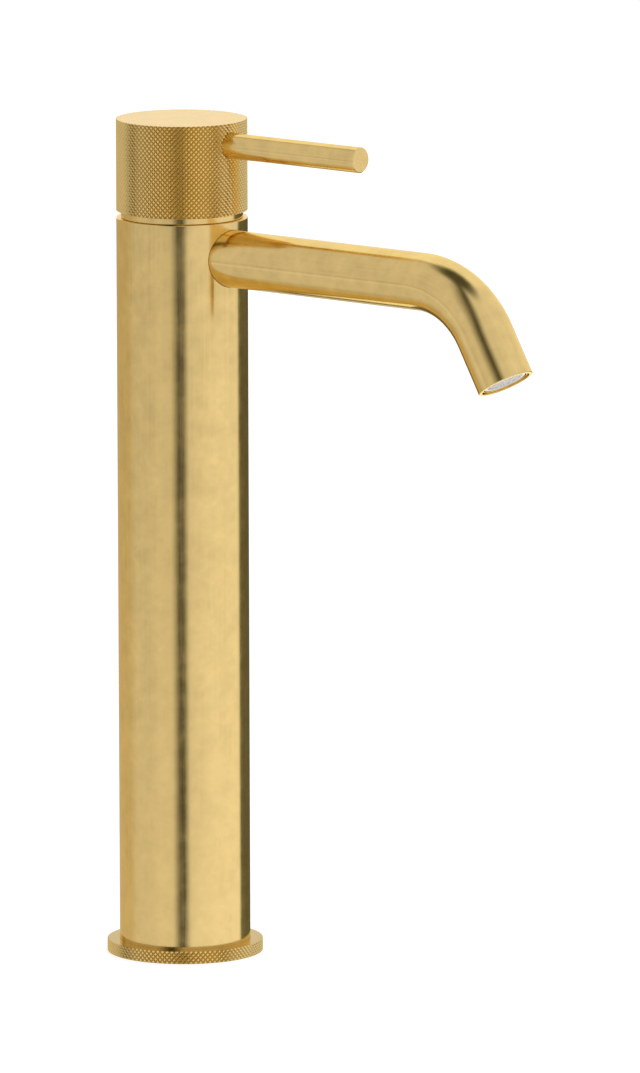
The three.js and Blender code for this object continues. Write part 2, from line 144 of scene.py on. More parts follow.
class MixerFinishes(bpy.types.PropertyGroup):
    """Colours and roughness of the mixer's finishes."""
    brass: colour("Brushed brass", "Colour of the brushed outer brass", (0.86, 0.635, 0.235))
    brass_rim: colour("Brass at a glance", "Tint of the brushed brass where it is seen edge on",
                      (0.97, 0.87, 0.66))
    brass_roughness: share("Brass roughness", "Roughness of the brushed outer brass", 0.15)
    # painted shade: the darker brass that the knurl's grooves are coloured with, standing in for the shade
    # down in them
    groove_shade: colour("Knurl grooves", "Colour of the brass down in the knurl's grooves",
                   (0.66, 0.48, 0.18))
    raw_brass: colour("Raw brass", "Colour of the machined brass inside", (0.72, 0.50, 0.20))
    copper: colour("Copper", "Colour of the two risers", (0.72, 0.36, 0.22))
    steel: colour("Steel", "Colour of pins and screws", (0.50, 0.50, 0.51))
    rubber: colour("Rubber", "Colour of the seals and the gasket", (0.022, 0.022, 0.023))
    cartridge_plastic: colour("Cartridge plastic", "Colour of the valve cartridge", (0.66, 0.66, 0.62))
    aerator_plastic: colour("Aerator plastic", "Colour of the aerator's insert", (0.84, 0.82, 0.76))
    ceramic: colour("Ceramic", "Colour of the valve's discs", (0.82, 0.80, 0.75))


class MixerStage(bpy.types.PropertyGroup):
    """Camera, floor and surroundings."""
    azimuth: angle("Camera azimuth", "Which side the camera stands on, from the front to the right",
                   -49.9)
    elevation: angle("Camera elevation", "How high the camera looks down from", 9.59)
    roll: angle("Camera roll", "Small turn of the camera about its own line of sight", -0.16)
    distance: length("Camera distance", "From the aim point to the camera", 5.073)
    aim_aside: length("Aim aside", "How far right of the column the camera aims", 0.05206)
    aim_height: length("Aim height", "How high the camera aims", 0.16013)
    lens: FloatProperty(name="Focal length", description="Focal length of the camera", default=446.5,
                        subtype="DISTANCE_CAMERA")
    floor_size: length("Floor", "Side of the square floor", 12)
    floor_glow: share("Floor glow", "Light that the white floor gives off by itself", 0.62)
    surround: FloatProperty(name="Surroundings", description="Brightness of the studio round the mixer",
                            default=1.0, min=0)


# ---------------------------------------------------------------- modelling by hand
def clear():
    """Nothing selected and no object in edit mode."""
    if bpy.context.object and bpy.context.object.mode != "OBJECT":
        bpy.ops.object.mode_set(mode="OBJECT")
    bpy.ops.object.select_all(action="DESELECT")


def only(piece):
    clear()
    piece.select_set(True)
    bpy.context.view_layer.objects.active = piece


def edit_mesh():
    return bmesh.from_edit_mesh(bpy.context.object.data)


def pick_edges(wanted):
    """Selects the edges that pass a test, in edit mode."""
    bpy.ops.mesh.select_all(action="DESELECT")
    bpy.ops.mesh.select_mode(type="EDGE")
    mesh = edit_mesh()
    for edge in mesh.edges:
        if wanted(edge):
            edge.select_set(True)
    mesh.select_flush_mode()
    bmesh.update_edit_mesh(bpy.context.object.data)


def pick_faces(wanted):
    """Selects the faces that pass a test, in edit mode."""
    bpy.ops.mesh.select_all(action="DESELECT")
    bpy.ops.mesh.select_mode(type="FACE")
    for face in edit_mesh().faces:
        face.select_set(wanted(face))
    bmesh.update_edit_mesh(bpy.context.object.data)


def add_ring(radius, sides, centre, along=UP, **more):
    """A ring of edges square to a line; a new object, or part of the one being edited."""
    bpy.ops.mesh.primitive_circle_add(vertices=sides, radius=radius, location=centre,
                                      rotation=along.to_track_quat("Z", "Y").to_euler(), **more)


def start_piece(radius, sides, centre, along=UP):
    """A new piece, in edit mode, that starts as one ring of edges."""
    clear()
    add_ring(radius, sides, centre, along)
    bpy.ops.object.transform_apply(location=True, rotation=True, scale=True)
    bpy.ops.object.mode_set(mode="EDIT")
    bpy.ops.mesh.select_all(action="SELECT")


def pull(step):
    bpy.ops.mesh.extrude_region_move(TRANSFORM_OT_translate={"value": step})


def widen(factor, centre):
    bpy.ops.transform.resize(value=(factor, factor, factor), center_override=centre)


def pull_along(profile, foot, along):
    """Pulls the selected ring from point to point of a profile of (radius, distance along the line)."""
    for (radius, level), (next_radius, next_level) in zip(profile, profile[1:]):
        pull(along * (next_level - level))
        if next_radius != radius:
            widen(next_radius / radius, foot + along * next_level)


def close_up():
    """Merges doubles, closes open rings with flat faces and turns every face outwards."""
    bpy.ops.mesh.select_all(action="SELECT")
    bpy.ops.mesh.remove_doubles(threshold=SAME_POINT)
    bpy.ops.mesh.fill_holes(sides=0)
    bpy.ops.mesh.select_all(action="SELECT")
    bpy.ops.mesh.normals_make_consistent(inside=False)


def settle(name):
    """Leaves edit mode with the piece named."""
    bpy.ops.object.mode_set(mode="OBJECT")
    piece = bpy.context.object
    piece.name = piece.data.name = name
    return piece


def turned(name, profile, sides, foot=Vector(), along=UP):
    """A turned piece. A profile that ends where it starts makes a ring, and any other gets flat ends."""
    radius, level = profile[0]
    start_piece(radius, sides, foot + along * level, along)
    pull_along(profile, foot, along)
    close_up()
    return settle(name)


def tube(inner, outer, low, high):
    """The profile of a plain tube."""
    return [(outer, low), (outer, high), (inner, high), (inner, low), (outer, low)]


def apply(piece, kind, **settings):
    """Adds a modifier and applies it."""
    only(piece)
    modifier = piece.modifiers.new(kind.title(), kind)
    for key, value in settings.items():
        setattr(modifier, key, value)
    bpy.ops.object.modifier_apply(modifier=modifier.name)


def chamfer(piece, width):
    apply(piece, "BEVEL", width=width, segments=2, limit_method="ANGLE", angle_limit=CHAMFER_ABOVE)


def bore(piece, radius, start, end, foot, along, sides):
    """Cuts a round hole along a line, between two distances from its foot."""
    drill = turned("drill", [(radius, start), (radius, end)], sides, foot, along)
    apply(piece, "BOOLEAN", object=drill, operation="DIFFERENCE", solver="EXACT")
    bpy.data.objects.remove(drill)


def finish(piece, body, slot, material, *nodes):
    """Shading, finish, body and the CAD nodes that a piece stands for."""
    only(piece)
    bpy.ops.object.shade_smooth_by_angle(angle=SMOOTH_BELOW)
    piece.data.materials.clear()
    piece.data.materials.append(material)
    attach(piece, body)
    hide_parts(*nodes)


def span(node):
    """Outer radius and lowest and highest level of an upright round node."""
    low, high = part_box(node)
    return high.x, low.z, high.z


def middle(node):
    """The point on the mixer's axis at the height of a node's middle."""
    low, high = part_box(node)
    return Vector((0, 0, (low.z + high.z) / 2))


# ---------------------------------------------------------------- grain
def lay_grain(piece, place):
    """Stores for each point a place in a straight bar of the same stock, whose grain runs along z."""
    grain = piece.data.attributes.new("grain", "FLOAT_VECTOR", "POINT")
    for point, stored in zip(piece.data.vertices, grain.data):
        stored.vector = place(point.co)


def upright(point):
    return point


def lying(point):
    return Vector((point.x, point.z, point.y))


# ---------------------------------------------------------------- finishes
class Finish:
    """A material with short calls that add and join its nodes."""

    def __init__(self, name, **sockets):
        self.material = bpy.data.materials.new(name)
        self.material.use_nodes = True
        self.tree = self.material.node_tree
        self.shader = self.tree.nodes["Principled BSDF"]
        for socket, value in sockets.items():
            self.shader.inputs[socket.replace("_", " ").title()].default_value = value

    def add(self, kind, joins=(), **settings):
        node = self.tree.nodes.new(kind)
        for key, value in settings.items():
            setattr(node, key, value)
        for socket, source in dict(joins).items():
            if isinstance(source, bpy.types.NodeSocket):
                self.tree.links.new(source, node.inputs[socket])
            else:
                node.inputs[socket].default_value = source
        return node

    def place(self, attribute=None, stretch=(1, 1, 1)):
        """Object coordinates, or a stored attribute, stretched along each axis."""
        if attribute:
            source = self.add("ShaderNodeAttribute", attribute_name=attribute).outputs["Vector"]
        else:
            source = self.add("ShaderNodeTexCoord").outputs["Object"]
        return self.add("ShaderNodeMapping", {"Vector": source, "Scale": stretch}).outputs["Vector"]

    def noise(self, place, scale, detail=3.0, roughness=0.5):
        joins = {"Vector": place, "Scale": scale, "Detail": detail, "Roughness": roughness}
        return self.add("ShaderNodeTexNoise", joins).outputs["Fac"]

    def spread(self, source, low, high, start=0.3, end=0.7):
        """Maps the middle of a noise's range to two values."""
        joins = {"Value": source, "From Min": start, "From Max": end, "To Min": low, "To Max": high}
        return self.add("ShaderNodeMapRange", joins).outputs["Result"]

    def sum(self, *sources):
        total = sources[0]
        for source in sources[1:]:
            total = self.add("ShaderNodeMath", {0: total, 1: source}, operation="ADD").outputs[0]
        return total

    def blend(self, factor, first, second):
        node = self.add("ShaderNodeMix", data_type="RGBA")
        self.tree.links.new(factor, node.inputs["Factor"])
        for socket, source in ((node.inputs[6], first), (node.inputs[7], second)):
            if isinstance(source, bpy.types.NodeSocket):
                self.tree.links.new(source, socket)
            else:
                socket.default_value = (*source, 1)
        return node.outputs[2]

    def bump(self, height, distance, strength=1.0, under=None):
        joins = {"Height": height, "Distance": distance, "Strength": strength}
        if under is not None:
            joins["Normal"] = under
        return self.add("ShaderNodeBump", joins).outputs["Normal"]

    def join(self, **sources):
        for socket, source in sources.items():
            self.tree.links.new(source, self.shader.inputs[socket.replace("_", " ").title()])


def tinted(colour_value, factor):
    return tuple(min(1.0, part * factor) for part in colour_value)


def satin_brass(name="satin_brass", painted_shade_factor=1.0):
    """Satin brass: fine streaks along the grain over a slightly cloudy lacquered surface."""
    finishes = bpy.context.scene.mixer_finishes
    gloss = finishes.brass_roughness
    streaks, clouds, patches = 0.08, 0.035, 0.03  # how far each swings the roughness
    made = Finish(name, metallic=1.0, specular_tint=(*finishes.brass_rim, 1))
    cloud = made.noise(made.place(), scale=80, detail=5, roughness=0.65)
    patch = made.noise(made.place(), scale=190)
    fine = made.noise(made.place("grain", stretch=(1, 1, 0.02)), scale=2600, roughness=0.6)
    broad = made.noise(made.place("grain", stretch=(1, 1, 0.012)), scale=700, detail=2)
    streak = made.add("ShaderNodeMix", {0: 0.45, 2: fine, 3: broad}).outputs[0]
    mottle = made.add("ShaderNodeMix", {0: 0.45, 2: cloud, 3: patch}).outputs[0]
    # a share below 1 darkens the whole brass colour: painted shade
    metal = tinted(finishes.brass, painted_shade_factor)
    tint = made.blend(made.spread(mottle, 0, 1, 0.35, 0.65), tinted(metal, 0.86), tinted(metal, 1.09))
    lit = made.blend(made.spread(streak, 0, 0.45, 0.35, 0.65), tint, tinted(metal, 1.12))
    roughness = made.sum(
        made.spread(cloud, -clouds / 2, clouds / 2),
        made.spread(streak, gloss - streaks / 2, gloss + streaks / 2),
        made.spread(patch, -patches / 2, patches / 2),
    )
    dents = made.bump(cloud, distance=0.05 * MM, strength=0.12)
    brushed = made.bump(streak, distance=0.01 * MM, strength=0.5, under=dents)
    made.join(base_color=lit, roughness=roughness, normal=brushed)


def knurled_satin(name, radius, depth):
    """The knurled brass round an upright axis: the same metal, duller down in the grooves and darkened
    there with painted shade.
    """
    finishes = bpy.context.scene.mixer_finishes
    made = Finish(name, metallic=1.0, specular_tint=(*finishes.brass_rim, 1))
    cloud = made.noise(made.place(), scale=90, detail=4)
    fine = made.noise(made.place(), scale=4200, detail=2)
    flat = made.place(stretch=(1, 1, 0))
    from_axis = made.add("ShaderNodeVectorMath", {0: flat}, operation="LENGTH").outputs["Value"]
    # proud goes from 0 at the groove bottoms to 1 near the diamonds' crowns: it blends in the painted
    # groove shade and raises the roughness down in the grooves
    proud = made.spread(from_axis, 0, 1, radius - depth, radius - depth * 0.25)
    tint = made.blend(made.spread(cloud, 0, 1), tinted(finishes.brass, 0.98), tinted(finishes.brass, 1.10))
    worn = made.blend(made.spread(fine, 0, 0.4), tint, tinted(finishes.brass, 1.2))
    # painted shade: the colour runs to the darker groove brass down in the grooves
    lit = made.blend(proud, finishes.groove_shade, worn)
    roughness = made.sum(made.spread(proud, 0.30, 0.17, 0, 1), made.spread(fine, -0.02, 0.02))
    made.join(base_color=lit, roughness=roughness, normal=made.bump(fine, distance=0.01 * MM, strength=0.3))


def machined(name, metal, roughness):
    """Bare turned metal: fine rings round the upright axis and a light tarnish."""
    made = Finish(name, metallic=1.0)
    rings = made.noise(made.place(stretch=(0.02, 0.02, 1)), scale=3200, detail=2)
    tarnish = made.noise(made.place(), scale=140, detail=5, roughness=0.65)
    tint = made.blend(made.spread(tarnish, 0, 1), tinted(metal, 0.8), tinted(metal, 1.06))
    turned_gloss = made.spread(rings, roughness - 0.06, roughness + 0.06)
    gloss = made.sum(turned_gloss, made.spread(tarnish, 0.05, -0.05))
    made.join(base_color=tint, roughness=gloss, normal=made.bump(rings, distance=0.015 * MM, strength=0.5))


def moulded(name, plastic, roughness, grain=0.01 * MM, speckle=0.05):
    """Moulded plastic, rubber or pressed ceramic: a fine even grain and faint flow marks."""
    made = Finish(name)
    grains = made.noise(made.place(), scale=3000, detail=2)
    flow = made.noise(made.place(), scale=120, detail=4)
    tint = made.blend(made.spread(flow, 0, 1), tinted(plastic, 1 - speckle), tinted(plastic, 1 + speckle))
    grained_gloss = made.spread(grains, roughness - 0.04, roughness + 0.04)
    gloss = made.sum(grained_gloss, made.spread(flow, -0.03, 0.03))
    made.join(base_color=tint, roughness=gloss, normal=made.bump(grains, distance=grain, strength=0.4))


# ---------------------------------------------------------------- pieces
class MixerPiece:
    """What the operators that make pieces have in common."""
    bl_options = {"REGISTER", "UNDO"}

    def sizes_and_finishes(self, context):
        return context.scene.mixer_sizes, bpy.data.materials


class MIXER_OT_column(MixerPiece, bpy.types.Operator):
    """The plain round column, with the hole that the spout comes out of"""
    bl_idname = "mixer.column"
    bl_label = "Column"

    def execute(self, context):
        sizes, finishes = self.sizes_and_finishes(context)
        radius, low, high = span("body_tube")
        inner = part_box("insert_o_ring")[1].x + CLEARANCE
        piece = turned("column", tube(inner, radius, low, high), sizes.round_sides)
        chamfer(piece, sizes.edge)
        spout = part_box("spout_tube")[1]
        axis = Vector((0, 0, spout.z - spout.x))
        start = radius * SPOUT_HOLE_START
        bore(piece, spout.x + SPOUT_HAIRLINE, start, radius * PAST, axis, FORWARD, LARGE_ROUND)
        lay_grain(piece, upright)
        finish(piece, "fixed_body", "brushed_brass", finishes["satin_brass"], "body_tube")
        return {"FINISHED"}


class MIXER_OT_neck(MixerPiece, bpy.types.Operator):
    """The smooth set-back ring between the column and the cap"""
    bl_idname = "mixer.neck"
    bl_label = "Neck ring"

    def execute(self, context):
        sizes, finishes = self.sizes_and_finishes(context)
        radius, _, high = span("neck_ring")
        low = span("body_tube")[2] + NECK_HAIRLINE
        piece = turned("neck", tube(NECK_BORE, radius, low, high), sizes.round_sides)
        chamfer(piece, sizes.edge)
        lay_grain(piece, upright)
        finish(piece, "fixed_body", "brushed_brass", finishes["satin_brass"], "neck_ring")
        return {"FINISHED"}


def knurled_wall(radius, low, high, columns, sizes):
    """An open wall of raised diamonds, in edit mode: made a row too long at each end, then trimmed."""
    step = sizes.knurl_height
    rows = round((high - low) / step) + 2
    spare = rows * step - (high - low)
    start_piece(radius - sizes.knurl_depth, columns, (0, 0, low - spare / 2))
    for _ in range(rows):
        pull((0, 0, step))
    bpy.ops.mesh.select_all(action="SELECT")
    bpy.ops.mesh.normals_make_consistent(inside=False)
    bpy.ops.mesh.poke()

    def level_or_upright(edge):
        run = edge.verts[1].co - edge.verts[0].co
        return not edge.is_boundary and (abs(run.z) < NEAR or run.xy.length < NEAR)

    pick_edges(level_or_upright)
    bpy.ops.mesh.dissolve_edges(use_verts=False)
    bpy.ops.mesh.select_mode(type="FACE")
    bpy.ops.mesh.select_all(action="SELECT")
    bpy.ops.mesh.inset(use_individual=True, use_even_offset=True, thickness=sizes.knurl_flank,
                       depth=sizes.knurl_depth)
    for level, upper in ((low, False), (high, True)):
        bpy.ops.mesh.select_all(action="SELECT")
        bpy.ops.mesh.bisect(plane_co=(0, 0, level), plane_no=UP, clear_inner=not upper,
                            clear_outer=upper, threshold=CUT_SNAP)
    bpy.ops.mesh.select_mode(type="EDGE")


def plain_inside(piece, radius, material):
    """Gives the level faces, and those well inside a radius, a second finish."""
    piece.data.materials.append(material)
    points = piece.data.vertices
    for face in piece.data.polygons:
        inside = all(points[i].co.xy.length < radius - WELL_INSIDE for i in face.vertices)
        level = abs(face.normal.z) > LEVEL
        face.material_index = int(inside or level)


def open_edges_at(level):
    """Selects the open edges on a level."""
    pick_edges(lambda edge: edge.is_boundary and all(abs(v.co.z - level) < NEAR for v in edge.verts))


class MIXER_OT_base_ring(MixerPiece, bpy.types.Operator):
    """The knurled ring that the column stands in"""
    bl_idname = "mixer.base_ring"
    bl_label = "Base ring"

    def execute(self, context):
        sizes, finishes = self.sizes_and_finishes(context)
        radius, low, high = span("base_ring")
        column_radius, column_foot, _ = span("body_tube")
        hole = column_radius + HAIRLINE
        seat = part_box("deck_gasket")[1].x + CLEARANCE
        knurled_wall(radius, low, high, sizes.base_knurls, sizes)
        add_ring(hole, sizes.base_knurls, (0, 0, high))
        pull_along([(hole, high), (hole, column_foot), (seat, column_foot), (seat, low)], Vector(), UP)
        for level in (low, high):
            open_edges_at(level)
            bpy.ops.mesh.fill()
        close_up()
        piece = settle("knurled_base")
        lay_grain(piece, upright)
        finish(piece, "fixed_body", "knurled_brass", finishes["knurled_base_brass"], "base_ring")
        # the base ring's level faces and inner faces take the brass darkened to 0.56: painted shade
        plain_inside(piece, radius - sizes.knurl_depth, finishes["shade_darkened_brass"])
        return {"FINISHED"}


class MIXER_OT_cap(MixerPiece, bpy.types.Operator):
    """The knurled cap that the lever is screwed into, hollow round the neck, with its plug"""
    bl_idname = "mixer.cap"
    bl_label = "Handle cap"

    def execute(self, context):
        sizes, finishes = self.sizes_and_finishes(context)
        radius, low, high = span("handle_cap")
        inside = radius - CAP_WALL
        ceiling = high - CAP_TOP
        hub_low = low + HUB_HEIGHT
        socket_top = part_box("stem")[1].z + CLEARANCE
        knurled_wall(radius, low, high, sizes.cap_knurls, sizes)
        open_edges_at(high)
        bpy.ops.mesh.edge_face_add()
        add_ring(inside, sizes.cap_knurls, (0, 0, low))
        hollow = [(inside, low), (inside, ceiling), (HUB_RADIUS, ceiling), (HUB_RADIUS, hub_low),
                  (SOCKET_RADIUS, hub_low), (SOCKET_RADIUS, socket_top)]
        pull_along(hollow, Vector(), UP)
        open_edges_at(low)
        bpy.ops.mesh.fill()
        close_up()
        piece = settle("knurled_cap")
        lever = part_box("lever")
        lever_axis = middle("lever")
        lever_root = -lever[1].y - CLEARANCE
        bore(piece, lever[1].x + HAIRLINE, lever_root, radius * PAST, lever_axis, FORWARD, LEVER_HOLE_SIDES)
        stud_root = -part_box("lever_stud")[1].y - CLEARANCE
        bore(piece, STUD_BORE, stud_root, radius * STUD_HOLE_END, lever_axis, FORWARD, SMALL_ROUND)
        plug_low, plug_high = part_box("screw_plug")
        plug_axis = middle("screw_plug")
        pocket = radius * PLUG_POCKET_FLOOR
        bore(piece, plug_high.x + PLUG_GAP, pocket, radius * PAST, plug_axis, -FORWARD, MEDIUM_ROUND)
        bore(piece, SCREW_BORE, SCREW_START, HUB_RADIUS * PAST, plug_axis, -FORWARD, SMALL_ROUND)
        lay_grain(piece, lying)
        finish(piece, "handle", "knurled_brass", finishes["knurled_cap_brass"], "handle_cap")
        plain_inside(piece, radius - sizes.knurl_depth, finishes["satin_brass"])
        mouth, floor, depth = PLUG_DIMPLE
        profile = [(plug_high.x, plug_low.y), (plug_high.x, plug_high.y), (mouth, plug_high.y),
                   (floor, plug_high.y - depth)]
        plug = turned("cap_plug", profile, MEDIUM_ROUND, plug_axis, -FORWARD)
        chamfer(plug, sizes.edge)
        lay_grain(plug, lying)
        finish(plug, "handle", "brushed_brass", finishes["satin_brass"], "screw_plug")
        return {"FINISHED"}


class MIXER_OT_lever(MixerPiece, bpy.types.Operator):
    """The slim round lever, bored at its inner end for its stud"""
    bl_idname = "mixer.lever"
    bl_label = "Lever"

    def execute(self, context):
        sizes, finishes = self.sizes_and_finishes(context)
        low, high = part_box("lever")
        radius = high.x
        root, end = -high.y, -low.y
        stud_end = -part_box("lever_stud")[0].y + STUD_END_GAP
        profile = [(STUD_BORE, stud_end), (STUD_BORE, root), (radius, root),
                   (radius, end - sizes.lever_edge), (radius - sizes.lever_edge, end)]
        piece = turned("lever_rod", profile, LARGE_ROUND, middle("lever"), FORWARD)
        lay_grain(piece, lying)
        finish(piece, "handle", "brushed_brass", finishes["satin_brass"], "lever")
        return {"FINISHED"}


class SpoutLine:
    """The spout's centre line: straight, round a bend, and straight to the outlet."""

    def __init__(self, sizes):
        low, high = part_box("spout_tube")
        turn = sizes.bend_turn
        self.radius = high.x
        self.height = high.z - self.radius
        self.root = -high.y
        self.down = Vector((0, -math.cos(turn), -math.sin(turn)))
        self.outlet = Vector((0, low.y + self.radius * math.sin(turn),
                              low.z + self.radius * math.cos(turn)))
        fall = self.height - self.outlet.z - sizes.bend_radius * (1 - math.cos(turn))
        self.end = fall / math.sin(turn)
        self.bend_start = -self.outlet.y - sizes.bend_radius * math.sin(turn) - self.end * math.cos(turn)
        self.bend_centre = Vector((0, -self.bend_start, self.height - sizes.bend_radius))
        self.bend_radius, self.turn = sizes.bend_radius, turn

    def straightened(self, point):
        """The place that a point of the spout would have if it were still a straight upright tube."""
        if -point.y < self.bend_start:
            return Vector((point.x, point.z - self.height, -point.y))
        out = point - self.bend_centre
        turn = min(math.atan2(-out.y, out.z), self.turn)
        square = Vector((0, -math.sin(turn), math.cos(turn)))
        onwards = Vector((0, -math.cos(turn), -math.sin(turn)))
        along = self.bend_start + self.bend_radius * turn + out.dot(onwards)
        return Vector((point.x, out.dot(square) - self.bend_radius, along))


class MIXER_OT_spout(MixerPiece, bpy.types.Operator):
    """The spout, one tube bent down at its end"""
    bl_idname = "mixer.spout"
    bl_label = "Spout"

    def execute(self, context):
        sizes, finishes = self.sizes_and_finishes(context)
        line = SpoutLine(sizes)
        start_piece(line.radius, LARGE_ROUND, (0, -line.root, line.height), FORWARD)
        pull(FORWARD * (line.bend_start - line.root))
        bpy.ops.mesh.spin(steps=BEND_STEPS, angle=line.turn, center=line.bend_centre, axis=(-1, 0, 0))
        pull(line.down * line.end)
        bpy.ops.mesh.select_all(action="SELECT")
        bpy.ops.mesh.remove_doubles(threshold=SAME_POINT)
        bpy.ops.mesh.normals_make_consistent(inside=False)
        piece = settle("spout")
        apply(piece, "SOLIDIFY", thickness=sizes.spout_wall, offset=-1, use_even_offset=True)
        chamfer(piece, sizes.edge)
        lay_grain(piece, line.straightened)
        finish(piece, "fixed_body", "brushed_brass", finishes["satin_brass"], "spout_tube")
        return {"FINISHED"}


class MIXER_OT_aerator(MixerPiece, bpy.types.Operator):
    """The aerator in the outlet: its ring and its honeycomb insert"""
    bl_idname = "mixer.aerator"
    bl_label = "Aerator"

    def execute(self, context):
        sizes, finishes = self.sizes_and_finishes(context)
        line = SpoutLine(sizes)
        inwards = -line.down
        outer = line.radius - sizes.spout_wall - CLEARANCE
        inner = outer - AERATOR_WALL
        ring = tube(inner, outer, AERATOR_RECESS, AERATOR_DEPTH)
        piece = turned("aerator_ring", ring, LARGE_ROUND, line.outlet, inwards)
        chamfer(piece, AERATOR_EDGE)
        lay_grain(piece, line.straightened)
        finish(piece, "fixed_body", "brushed_brass", finishes["satin_brass"], "aerator_housing")
        low = AERATOR_RECESS + INSERT_RECESS
        high = AERATOR_DEPTH - INSERT_SHORTER
        self.insert(context, line.outlet, inwards, inner - CLEARANCE, low, high)
        return {"FINISHED"}

    def insert(self, context, outlet, inwards, radius, low, high):
        """A cup with a honeycomb across its mouth, made flat and then stood on the outlet."""
        sizes, finishes = self.sizes_and_finishes(context)
        hole = radius - INSERT_RIM
        web_low = low + WEB_RECESS
        start_piece(radius, LARGE_ROUND, (0, 0, low))
        pull_along(tube(hole, radius, low, high), Vector(), UP)
        close_up()
        rows = int(radius / sizes.cell) + 1
        for row in range(-rows, rows + 1):
            for column in range(-2 * rows, 2 * rows + 1):
                x = sizes.cell * (column + row / 2)
                y = sizes.cell * row * math.sqrt(3) / 2
                if math.hypot(x, y) < hole:
                    add_ring(sizes.cell / math.sqrt(3), 6, (x, y, web_low), fill_type="NGON")
        pick_faces(lambda face: len(face.verts) == 6)
        bpy.ops.mesh.remove_doubles(threshold=NEAR)
        bpy.ops.mesh.inset(use_individual=True, thickness=sizes.cell_wall)
        bpy.ops.mesh.delete(type="FACE")
        pick_faces(lambda face: all(abs(v.co.z - web_low) < NEAR for v in face.verts))
        pull((0, 0, WEB_DEPTH))
        bpy.ops.mesh.select_all(action="SELECT")
        bpy.ops.mesh.normals_make_consistent(inside=False)
        piece = settle("aerator_honeycomb")
        only(piece)
        facing = inwards.to_track_quat("Z", "Y").to_matrix().to_4x4()
        piece.matrix_world = Matrix.Translation(outlet) @ facing
        bpy.ops.object.transform_apply(location=True, rotation=True, scale=True)
        finish(piece, "fixed_body", "aerator_plastic", finishes["aerator_resin"], "aerator_insert")


# Finishes of the pieces inside, by how their names begin. What isn't listed is bare brass or a rubber seal.
INNER_FINISHES = {
    "riser": "drawn_copper",
    "pivot_pin": "ground_steel",
    "stem": "ground_steel",
    "lever_stud": "ground_steel",
    "handle_grub_screw": "ground_steel",
    "fixed_disc": "pressed_ceramic",
    "moving_disc": "pressed_ceramic",
    "cartridge": "cartridge_resin",
    "cartridge_nut": "machined_brass",
    "turret": "cartridge_resin",
    "disc_carrier": "cartridge_resin",
    "aerator_insert": "aerator_resin",
}
SEAL_WORDS = ("seal", "o_ring", "gasket")


class MIXER_OT_working_parts(MixerPiece, bpy.types.Operator):
    """Finishes for the seals, pipes, valve and cartridge inside"""
    bl_idname = "mixer.working_parts"
    bl_label = "Working parts"

    def execute(self, context):
        for name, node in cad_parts.items():
            node.data.materials.clear()
            node.data.materials.append(bpy.data.materials[self.finish_of(name)])
        return {"FINISHED"}

    def finish_of(self, name):
        if any(word in name for word in SEAL_WORDS):
            return "seal_rubber"
        starts = [start for start in INNER_FINISHES if name.startswith(start)]
        return INNER_FINISHES[max(starts, key=len)] if starts else "machined_brass"


class MIXER_OT_finishes(bpy.types.Operator):
    """Every metal, rubber, plastic and ceramic finish"""
    bl_idname = "mixer.finishes"
    bl_label = "Finishes"

    def execute(self, context):
        chosen = context.scene.mixer_finishes
        depth = context.scene.mixer_sizes.knurl_depth
        satin_brass()
        # the satin brass darkened to 0.56 as painted shade, for the base ring's level and inner faces
        satin_brass("shade_darkened_brass", painted_shade_factor=0.56)
        knurled_satin("knurled_cap_brass", span("handle_cap")[0], depth)
        knurled_satin("knurled_base_brass", span("base_ring")[0], depth)
        machined("machined_brass", chosen.raw_brass, 0.38)
        machined("drawn_copper", chosen.copper, 0.32)
        machined("ground_steel", chosen.steel, 0.26)
        moulded("seal_rubber", chosen.rubber, 0.62, grain=0.03 * MM, speckle=0.15)
        moulded("cartridge_resin", chosen.cartridge_plastic, 0.42)
        moulded("aerator_resin", chosen.aerator_plastic, 0.38)
        moulded("pressed_ceramic", chosen.ceramic, 0.16, grain=0.004 * MM, speckle=0.03)
        return {"FINISHED"}


# ---------------------------------------------------------------- stage
# The studio that the metal mirrors: a pale tent with dark flags and bright cards standing in it. A panel
# reaches from one turn to another, in degrees to the right of the camera, and runs softly into the next.
PALE = (0.82, 0.81, 0.90)
SHADE = (0.69, 0.67, 0.72)
WARM = (0.58, 0.52, 0.44)
WINDOW = (1.02, 1.02, 1.04)
LAMP = (1.30, 1.32, 1.22)
FLAG = (0.08, 0.08, 0.06)

HIGH_PANELS = [
    (-180, -152, WINDOW), (-145, -137, WARM), (-130, -52, SHADE), (-27, -20, FLAG),
    (-1, 15, tinted(PALE, 0.9)), (60, 110, PALE), (171, 180, WINDOW),
]
LOW_PANELS = [
    (-180, -110, WARM), (-90, -60, tinted(SHADE, 0.95)), (-42, -20, tinted(SHADE, 1.07)),
    (-7, 1, tinted(FLAG, 0.7)), (11, 15, tinted(PALE, 0.93)), (55, 114, tinted(PALE, 1.1)),
    (119, 172, tinted(FLAG, 1.5)), (180, 180, tinted(WARM, 0.7)),
]
FLOOR_PANELS = [
    (-180, -171, SHADE), (-166, -153, tinted(FLAG, 1.5)), (-138, -120, tinted(WARM, 0.95)),
    (-100, -30, SHADE), (30, 115, PALE), (155, 160, tinted(FLAG, 2.5)), (165, 176, LAMP), (180, 180, SHADE),
]
STEEP_PANELS = [
    (-180, -180, tinted(WARM, 0.6)), (-167, -166, FLAG), (-162, -145, LAMP), (-137, -110, WARM),
    (-60, 60, SHADE), (180, 180, tinted(WARM, 0.6)),
]
ZENITH = FLAG
NADIR = tinted(WARM, 0.8)

# Between which heights each gives way to the next, from -1 straight below the mixer to 1 straight above it.
NADIR_TO_STEEP = (-0.95, -0.85)
STEEP_TO_FLOOR = (-0.72, -0.64)
FLOOR_TO_LOW = (-0.30, -0.22)
LOW_TO_HIGH = (-0.13, -0.03)
HIGH_TO_ZENITH = (0.88, 0.99)
LOW_LIFT = ((-0.21, -0.13), (1.22, 0.87))  # the low panels' brightness falls off between these heights

WHITE = (1, 1, 1, 1)
FLOOR_GREY = (0.8, 0.8, 0.8, 1)
SENSOR_WIDTH = 36  # of the camera, in millimetres
FARTHEST = 50  # how far the camera sees, in metres


